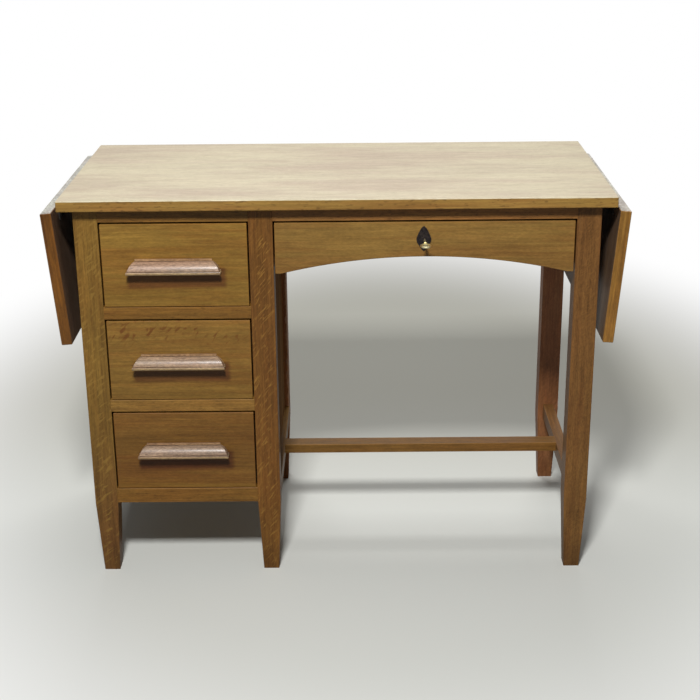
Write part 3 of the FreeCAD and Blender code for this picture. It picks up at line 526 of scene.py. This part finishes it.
LOOKS = {
    "desk_top": Look(
        base=(0.272, 0.153, 0.034),
        faces=((Z, 1, FACE, 0.0014),),
        figure=0.035,
        speck=0.03,
        tint=0.8,
        spots=0.5,
        # the cream line along its upper arris is partly rubbed varnish and partly a painted highlight
        wear_and_highlight=0.6,
        wear_and_highlight_tone=(2.4, 4.0, 13.0),
        wear_and_highlight_width=0.0015,
        wear_and_highlight_from=0.012,
        rough=0.46,
        relief=0.15,
        shine=0.4,
    ),
    "leg_front_left": Look(
        base=GOLDEN,
        rays=0.6,
        ray_tone=(1.55, 1.65, 1.7),
        ray_tilt=42,
        ray_size=(42, 190),
        fade=(0.05, 0.42, (0.74, 0.6, 0.8)),
        **WORN,
        **QUARTER,
    ),
    "leg_back_left": Look(GOLDEN, rays=0.4, **WORN, **QUARTER),
    "leg_front_middle": Look(
        base=times(BROWN, 0.94, 0.88, 0.86),
        fade=(0.3, 0.6, (1.24, 1.28, 1.28)),
        rays=0.9,
        ray_tone=(2.1, 2.5, 2.4),
        ray_size=(40, 300),
        ray_cut=(0.57, 0.65),
        ray_twist=0.9,
        **WORN,
        **QUARTER,
    ),
    "leg_back_middle": Look(
        base=times(DARK, 0.95),
        rays=0.5,
        shine=0.1,
        # its pale wide edges are a painted highlight of lit arrises
        wear_and_highlight=0.8,
        wear_and_highlight_tone=(2.3, 3.4, 5.5),
        wear_and_highlight_width=0.004,
        **QUARTER,
    ),
    "leg_front_right": Look(
        base=times(BROWN, 1.01, 1.0, 1.32),
        fade=(0.15, 0.6, (1.13, 1.2, 1.2)),
        rays=0.5,
        ray_tone=(1.6, 1.7, 1.5),
        ray_tilt=38,
        ray_size=(90, 420),
        speck=0.16,
        **WORN,
        **QUARTER,
    ),
    # its raised tone is painted light on the upper leg, which the top shades, and the end tone darkens it
    # back towards the floor
    "leg_back_right": Look(
        base=times(DARK, 1.1, 1.08, 1.15),
        rays=0.35,
        ray_tone=(1.5, 1.4, 1.2),
        fade=(0.12, 0.4, (0.75, 0.78, 0.75)),
        **WORN,
        **QUARTER,
    ),
    "pedestal_top_rail": Look(RAIL, spots=0.4),
    # a raised tone, painted light on this rail where the top shades it
    "kneehole_top_rail": Look(times(RAIL, 1.3, 1.18, 1.5), spots=0.4),
    "drawer_rail_upper": Look(times(RAIL, 1.12, 1.06, 0.95), spots=0.3),
    "drawer_rail_lower": Look(times(RAIL, 1.38, 1.45, 1.55), spots=0.3),
    "pedestal_bottom_rail": Look(times(RAIL, 1.15, 1.1, 1.0), spots=0.3),
    "side_rail_outer": Look(RAIL, grain="Y"),
    "side_rail_inner": Look(RAIL, grain="Y"),
    "stretcher_right": Look(times(RAIL, 0.93, 0.93, 1.45), grain="Y", wear_and_highlight=0.5),
    "stretcher_long": Look(times(RAIL, 1.1, 1.08, 1.15), wear_and_highlight=0.5),
    "panel_outer": OUTER_PANEL,
    "panel_inner": Look(
        base=times(PANEL, 1.7, 1.7, 2.0),
        grain="Z",
        rings=0.25,
        gloss=0.0,
        rough=0.8,
        shine=0.03,
    ),
    "panel_back": OUTER_PANEL,
    "apron_right": Look(PANEL, grain="Y", gloss=0.1),
    "apron_back": Look(PANEL, gloss=0.1),
    "drawer_runners": Look(BEECH, grain="Y", **BARE),
    "drawer_stops": Look(BEECH, **BARE),
    "loper_guides": Look(BEECH, **BARE),
    "top_blocks": Look(BEECH, grain="Y", **BARE),
    "loper_left": LOPER,
    "loper_right": LOPER,
    # The end tones of the drawer fronts are painted shade towards the bottom, and on the lower front a
    # painted lighter strip at its bottom edge
    "drawer_upper_front": Look(
        base=times(FRONT, 1.06, 1.09, 1.1),
        rings=0.06,
        fade=(0.016, 0.106, (0.9, 0.88, 0.85)),
        **SAWN,
    ),
    "drawer_middle_front": Look(
        base=times(FRONT, 1.02, 1.02, 1.14),
        rings=0.06,
        fade=(0.017, 0.092, (0.84, 0.83, 0.8)),
        rays=0.85,
        ray_tone=(0.6, 0.37, 0.32),
        ray_tilt=38,
        ray_size=(40, 95),
        ray_band=(0.094, 0.126),
        ray_cut=(0.54, 0.69),
        ray_twist=1.2,
        **SAWN,
    ),
    "drawer_lower_front": Look(
        base=times(FRONT, 0.78, 0.69, 0.76),
        rings=0.2,
        fade=(0.0025, 0.0275, (1.12, 1.2, 1.05)),
        **SAWN,
    ),
    "drawer_knee_front": Look(times(FRONT, 0.97, 1.01, 1.3), **SAWN),
}


def drawer_box_looks(level):
    """A drawer's sides, back and bottom, in bare pale oak."""
    for part in ("side_left", "side_right"):
        LOOKS[f"drawer_{level}_{part}"] = Look(SIDE, grain="Y", contrast=0.14, **BARE)
    LOOKS[f"drawer_{level}_back"] = Look(SIDE, contrast=0.14, **BARE)
    LOOKS[f"drawer_{level}_bottom"] = Look(SIDE, rings=0.15, contrast=0.12, **BARE)


def pull_look(level):
    """A pull, with its redder fillet above and its paler lip below, and the painted shadow and dirt round
    it.
    """
    LOOKS[f"drawer_{level}_pull"] = Look(
        base=times(PULL, *PULL_SHADES[level]),
        faces=((Z, 1, FILLET, 0.0034), (Z, -1, LIP, 0.0052)),
        contrast=0.3,
        figure=0.14,
        # the strong specks are partly a painted glint of the varnish
        speck=0.25,
        pores=0.6,
        rough=0.34,
        gloss=0.4,
        wear_and_highlight=0.5,
        wear_and_highlight_tone=(0.5, 0.42, 0.36),
        wear_and_highlight_width=0.005,
    )
    low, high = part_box(f"drawer_{level}_pull")
    middle = ((low.x + high.x) / 2 + SHADOW_AND_GRIME_ASIDE, low.z - SHADOW_AND_GRIME_BELOW)
    half = ((high.x - low.x) / 2 - SHADOW_AND_GRIME_INSET, SHADOW_AND_GRIME_HALF_HEIGHT)
    LOOKS[f"drawer_{level}_front"].pull_shadow_and_grime = (middle, half, SHADOW_AND_GRIME_REACH, PULL_SHADOW_AND_GRIME)


def leaf_look(side, sign):
    """A leaf, measured in its own box once the lean is taken off."""
    name = f"leaf_{side}"
    pin = PINS[side]
    straight = Matrix.Rotation(-sign * LEAN, 3, "Y")
    LOOKS[name] = Look(
        # the left leaf's tone is the right one's darkened, as painted shade
        base=LEAF if side == "right" else times(LEAF, 0.55, 0.42, 0.25),
        grain="Z",
        box=extent([straight @ (v.co - pin) + pin for v in NODES[name].data.vertices]),
        contrast=0.26,
        rings=0.25,
        pores=0.12,
        wear_and_highlight=0.4,
        figure=0.18,
        faces=((X, sign, LEAF_FACE, 0.0008), (Z, 1, JOINT, 0.0002), (X, -sign, LEAF_INNER_SHADE, 0.0002)),
        gloss=0.15,
        shine=0.35,
        upright=(pin, -sign * LEAN),
    )


for level in DRAWERS:
    drawer_box_looks(level)
for level in PEDESTAL:
    pull_look(level)
for side, sign in SIDES.items():
    leaf_look(side, sign)
for node, look in LOOKS.items():
    dress(node, Wood(node, look).material)


# ---------------------------------------------------------------- metal
SCRATCH_RELIEF, SCRATCH_DEPTH = 0.15, 0.0001


def metal(name, base, rough, dark, patina, scale=160.0):
    """Metal with a clouded patina and fine scratches. The scale is in repeats in a metre."""
    luck = random.Random(name)
    material, t, shader = new_material(name)
    shift = tuple(luck.uniform(-5, 5) for _ in range(3))
    place = t.vector("ADD", t.node("TexCoord").outputs["Object"], shift)
    cloud = t.span(t.noise(place, (scale,) * 3, 4.0, 0.65), 0.35, 0.7)
    scratch = t.noise(place, (scale * 2, scale * 16, scale * 5))
    dull = t.span(scratch, 0.3, 0.7, rough - 0.06, rough + 0.1)
    t.plug(shader.inputs["Base Color"], t.mix(t.scaled(cloud, patina), base, times(base, dark)))
    t.plug(shader.inputs["Roughness"], t.math("ADD", t.scaled(cloud, 0.2), dull))
    shader.inputs["Metallic"].default_value = 1.0
    t.bump(shader, scratch, SCRATCH_RELIEF, SCRATCH_DEPTH)
    return material


STEEL = metal("steel", (0.085, 0.075, 0.066), 0.6, 0.4, 0.5)
IRON = metal("iron", (0.22, 0.20, 0.18), 0.42, 0.45, 0.6)
BRONZE = metal("bronze", (0.06, 0.05, 0.052), 0.36, 0.35, 0.8, 230.0)
BRASS = metal("brass", (1.0, 0.9, 0.56), 0.28, 0.75, 0.15)
NAIL = metal("nail", (0.16, 0.14, 0.12), 0.5, 0.4, 0.6)
METALS = {
    "hinge_plates_top": STEEL,
    "hinge_flaps_left": STEEL,
    "hinge_flaps_right": STEEL,
    "lock_case": IRON,
    "escutcheon": BRONZE,
    "key": BRASS,
    "lock_bolt": BRASS,
}
for node, material in METALS.items():
    dress(node, material)


# ---------------------------------------------------------------- fittings
DOWN = Vector((0, 0, -1))
BACK = Vector((0, 1, 0))
SCREW_SUNK, PIN_SUNK = 0.0003, 0.0004  # how far a head reaches into what it fastens
HINGE_SCREW, LOCK_SCREW, TOP_SCREW = 0.0034, 0.003, 0.0038  # the radii of the heads
PLATE_PIN, BACK_NAIL = 0.0011, 0.0018

HINGE_SCREWS = ((-0.021, 0.018), (0.0, 0.011), (0.021, 0.018))  # along a hinge and out from its pin
PLATE_RISE = 0.0027  # the plates' faces lie this far over the pin of a raised leaf
LOCK_SCREW_MARGIN = 0.006
PIN_BELOW_TIP, PIN_ABOVE_TIP = 0.006, 0.0065  # from the escutcheon's points
GUIDE_SCREW_MARGIN = 0.009
GUIDE_SCREW_END = 0.03
NAIL_SHARES = (0.08, 0.36, 0.64, 0.92)  # along a drawer's back
SCREW_TURNS = random.Random(7)  # how far round each slot stands


def islands(node):
    """The vertex positions of each separate solid in a node, whose faces may not share their vertices."""
    mesh = NODES[node].data
    root = list(range(len(mesh.vertices)))

    def find(i):
        while root[i] != i:
            root[i] = root[root[i]]
            i = root[i]
        return i

    same = {}
    for v in mesh.vertices:
        key = tuple(round(c, 6) for c in v.co)
        root[find(v.index)] = find(same.setdefault(key, v.index))
    for e in mesh.edges:
        root[find(e.vertices[0])] = find(e.vertices[1])
    groups = {}
    for v in mesh.vertices:
        groups.setdefault(find(v.index), []).append(v.co.copy())
    return list(groups.values())


def add_screw(bm, at, normal, radius, rise=0.0007, steps=10):
    """A raised slotted head: two half domes either side of a slot, and the slot's floor."""
    turn = SCREW_TURNS.uniform(0, math.pi)
    across = Matrix.Rotation(turn, 3, normal) @ normal.orthogonal().normalized()
    along = normal.cross(across)
    gap = radius * 0.14
    outline = ((0.7, rise), (0.92, rise * 0.72), (1.0, rise * 0.2), (1.0, -SCREW_SUNK))
    start = math.asin(gap / radius)
    angles = [start + (math.pi - 2 * start) * i / steps for i in range(steps + 1)]
    for sign in (-1, 1):
        loops = []
        for share, height in outline:
            ring = [(math.cos(a) * radius * share, max(math.sin(a) * radius * share, gap)) for a in angles]
            corners = [at + across * x + along * (sign * y) + normal * height for x, y in ring]
            loops.append([bm.verts.new(corner) for corner in corners])
        bm.faces.new(loops[0])
        bm.faces.new(loops[-1][::-1])
        for upper, lower in zip(loops, loops[1:]):
            for i in range(steps + 1):
                j = (i + 1) % (steps + 1)
                bm.faces.new((upper[i], upper[j], lower[j], lower[i]))
    corners = [
        at + across * (x * radius * 0.97) + along * (y * gap * 1.1) + normal * z
        for z in (0.00012, -SCREW_SUNK)
        for x, y in ((-1, -1), (1, -1), (1, 1), (-1, 1))
    ]
    v = [bm.verts.new(corner) for corner in corners]
    for quad in ((0, 1, 2, 3), (4, 7, 6, 5), (0, 4, 5, 1), (1, 5, 6, 2), (2, 6, 7, 3), (3, 7, 4, 0)):
        bm.faces.new([v[i] for i in quad])


def add_pin(bm, at, normal, radius, steps=12, rings=4):
    """A round-headed pin."""
    across = normal.orthogonal().normalized()
    along = normal.cross(across)
    rise = radius * 0.55
    loops = []
    for k in range(rings):
        a = math.radians(90 * k / rings)
        r, h = radius * math.cos(a), rise * math.sin(a)
        loop = []
        for i in range(steps):
            b = 2 * math.pi * i / steps
            loop.append(bm.verts.new(at + (across * math.cos(b) + along * math.sin(b)) * r + normal * h))
        loops.append(loop)
    tip = bm.verts.new(at + normal * rise)
    base = [bm.verts.new(v.co - normal * PIN_SUNK) for v in loops[0]]
    for lower, upper in zip([base] + loops, loops):
        for i in range(steps):
            j = (i + 1) % steps
            bm.faces.new((lower[i], lower[j], upper[j], upper[i]))
    for i in range(steps):
        bm.faces.new((loops[-1][i], loops[-1][(i + 1) % steps], tip))
    bm.faces.new(base[::-1])


def new_piece(name, add_head, places, radius, material, body, slot):
    """One piece with a head at each place, which is a point and the way that the head faces."""
    mesh = bpy.data.meshes.new(name)
    bm = bmesh.new()
    for at, normal in places:
        add_head(bm, at, normal, radius)
    bmesh.ops.recalc_face_normals(bm, faces=bm.faces)
    bm.to_mesh(mesh)
    bm.free()
    obj = bpy.data.objects.new(name, mesh)
    bpy.context.scene.collection.objects.link(obj)
    mesh.materials.append(material)
    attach(obj, body)


def hinge_screws():
    """Three screws in each half of each hinge."""
    head = (HINGE_SCREW, STEEL)
    hinges = [extent(points) for points in islands("hinge_plates_top")]
    under_top = []
    for side, sign in SIDES.items():
        pin = PINS[side]
        hang = Matrix.Rotation(sign * (math.pi / 2 + LEAN), 3, "Y")
        in_leaf = []
        for middle in [(low.y + high.y) / 2 - pin.y for low, high in hinges if low.x * sign > 0]:
            for y, out in HINGE_SCREWS:
                under_top.append((pin + Vector((-sign * out, middle + y, PLATE_RISE)), DOWN))
                in_leaf.append((pin + hang @ Vector((sign * out, middle + y, PLATE_RISE)), hang @ DOWN))
        new_piece(f"hinge_screws_{side}", add_screw, in_leaf, *head, f"leaf_{side}", "steel_hinge")
    new_piece("hinge_screws_top", add_screw, under_top, *head, "frame", "steel_hinge")


def lock_fastenings():
    """Four screws inside the drawer, and two pins in the escutcheon."""
    low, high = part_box("lock_case")
    margin = LOCK_SCREW_MARGIN
    columns, rows = (low.x + margin, high.x - margin), (low.z + margin, high.z - margin)
    places = [(Vector((x, high.y, z)), BACK) for x in columns for z in rows]
    new_piece("lock_screws", add_screw, places, LOCK_SCREW, IRON, "drawer_knee", "iron_lock")
    low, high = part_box("escutcheon")
    middle = (low.x + high.x) / 2
    places = [(Vector((middle, low.y, z)), -BACK) for z in (high.z - PIN_BELOW_TIP, low.z + PIN_ABOVE_TIP)]
    new_piece("escutcheon_pins", add_pin, places, PLATE_PIN, BRONZE, "drawer_knee", "bronze_plate")


def screws_under_top():
    """One screw in each block, and three in the outer part of each guide."""
    low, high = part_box("desk_top")
    middle_of_top = (low.y + high.y) / 2
    places = []
    for points in islands("top_blocks"):
        low, high = extent(points)
        places.append((Vector(((low.x + high.x) / 2, (low.y + high.y) / 2, low.z)), DOWN))
    for points in islands("loper_guides"):
        low, high = extent(points)
        behind = (low.y + high.y) / 2 > middle_of_top
        y = high.y - GUIDE_SCREW_MARGIN if behind else low.y + GUIDE_SCREW_MARGIN
        for x in (low.x + GUIDE_SCREW_END, (low.x + high.x) / 2, high.x - GUIDE_SCREW_END):
            places.append((Vector((x, y, low.z)), DOWN))
    new_piece("screws_under_top", add_screw, places, TOP_SCREW, STEEL, "frame", "steel_hinge")


def drawer_nails():
    """Nails that hold each drawer's bottom up to its back."""
    for level in DRAWERS:
        low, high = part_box(f"drawer_{level}_back")
        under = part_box(f"drawer_{level}_bottom")[0].z
        columns = [low.x + (high.x - low.x) * share for share in NAIL_SHARES]
        places = [(Vector((x, (low.y + high.y) / 2, under)), DOWN) for x in columns]
        new_piece(f"drawer_{level}_nails", add_pin, places, BACK_NAIL, NAIL, f"drawer_{level}", "iron_lock")


# ---------------------------------------------------------------- setting
FLOOR_HALF = 24.0
FLOOR_NEAR, FLOOR_SHADOW_BEHIND = (0.67, 0.68, 0.64), (0.52, 0.515, 0.455)
FLOOR_THROWN = (0.33, 0.33, 0.31)  # the light that it throws back, as a floor in a deep room does
BEHIND_DESK = (0.0, 0.8)  # the depths between which the painted shadow behind the desk sets in
FLOOR_MIDDLE, FLOOR_SQUEEZE = (0.1, 0.45, 0), (1.12, 0.8, 1)
FLOOR_WHITENS = (0.75, 1.6)  # the radii between which it turns white for the camera
ROOM_LIGHT = 0.10
ROOM_IN_GLOSS = 0.5

LENS, SENSOR = 71.079, 36
SHIFT = (-0.00644, 0.00013)
CAMERA_AT = (0.03467, -2.62363, 1.37107)
PITCH, YAW, ROLL = (math.radians(angle) for angle in (20.5145, -0.1291, -0.5143))


def lay_floor():
    """A plain pale floor, with a painted shadow that darkens it behind the desk for the camera."""
    mesh = bpy.data.meshes.new("floor")
    bm = bmesh.new()
    bmesh.ops.create_grid(bm, x_segments=8, y_segments=8, size=FLOOR_HALF)
    bm.to_mesh(mesh)
    bm.free()
    floor = bpy.data.objects.new("floor", mesh)
    bpy.context.scene.collection.objects.link(floor)
    material, t, shader = new_material("floor")
    place = t.node("TexCoord").outputs["Object"]
    camera_ray = t.node("LightPath").outputs["Is Camera Ray"]
    # the camera sees a painted shadow behind the desk
    seen = t.mix(t.span(t.split(place)[1], *BEHIND_DESK), FLOOR_NEAR, FLOOR_SHADOW_BEHIND)
    t.plug(shader.inputs["Base Color"], t.mix(camera_ray, FLOOR_THROWN, seen))
    shader.inputs["Roughness"].default_value = 0.8
    offset = t.vector("MULTIPLY", t.vector("SUBTRACT", place, FLOOR_MIDDLE), FLOOR_SQUEEZE)
    far = t.math("MULTIPLY", t.span(t.vector("LENGTH", offset), *FLOOR_WHITENS), camera_ray)
    output = next(n for n in t.tree.nodes if n.type == "OUTPUT_MATERIAL")
    t.plug(output.inputs["Surface"], t.mix_shaders(far, shader, t.node("Emission")))
    mesh.materials.append(material)


def light_room():
    """A white room that lights the desk softly."""
    world = bpy.data.worlds.new("studio")
    bpy.context.scene.world = world
    world.use_nodes = True
    world.node_tree.nodes.clear()
    t = Tree(world.node_tree)
    light, shown = t.node("Background"), t.node("Background")
    for background in (light, shown):
        background.inputs["Color"].default_value = (1, 1, 1, 1)
    light.inputs["Strength"].default_value = ROOM_LIGHT
    path = t.node("LightPath").outputs
    share = t.math("MAXIMUM", path["Is Camera Ray"], t.scaled(path["Is Glossy Ray"], ROOM_IN_GLOSS))
    t.plug(t.node("OutputWorld").inputs["Surface"], t.mix_shaders(share, light, shown))


def add_lamp(name, at, towards, size, power):
    """A soft rectangular lamp of so many watts."""
    data = bpy.data.lights.new(name, "AREA")
    data.shape = "RECTANGLE"
    data.size, data.size_y = size
    data.energy = power
    obj = bpy.data.objects.new(name, data)
    obj.location = at
    obj.rotation_euler = (Vector(towards) - Vector(at)).to_track_quat("-Z", "Y").to_euler()
    bpy.context.scene.collection.objects.link(obj)


def add_camera():
    """The camera of the view from the front."""
    data = bpy.data.cameras.new("camera")
    data.lens, data.sensor_width = LENS, SENSOR
    data.shift_x, data.shift_y = SHIFT
    data.clip_start, data.clip_end = 0.05, 50
    obj = bpy.data.objects.new("camera", data)
    ahead = Vector((math.sin(YAW) * math.cos(PITCH), math.cos(YAW) * math.cos(PITCH), -math.sin(PITCH)))
    level = ahead.cross(Vector((0, 0, 1))).normalized()
    upright = level.cross(ahead)
    right = level * math.cos(ROLL) + upright * math.sin(ROLL)
    up = upright * math.cos(ROLL) - level * math.sin(ROLL)
    axes = Matrix((right, up, -ahead)).transposed().to_4x4()
    obj.matrix_world = Matrix.Translation(CAMERA_AT) @ axes
    bpy.context.scene.collection.objects.link(obj)
    bpy.context.scene.camera = obj


hinge_screws()
lock_fastenings()
screws_under_top()
drawer_nails()
lay_floor()
light_room()
add_lamp("key", at=(-0.2, -2.33, 2.78), towards=(0, -0.1, 0.45), size=(0.4, 0.4), power=108)
add_lamp("ceiling", at=(0.0, 1.35, 2.6), towards=(0, 0.1, 0.4), size=(1.6, 0.8), power=34)
add_camera()
bpy.context.scene.view_settings.view_transform = "Standard"
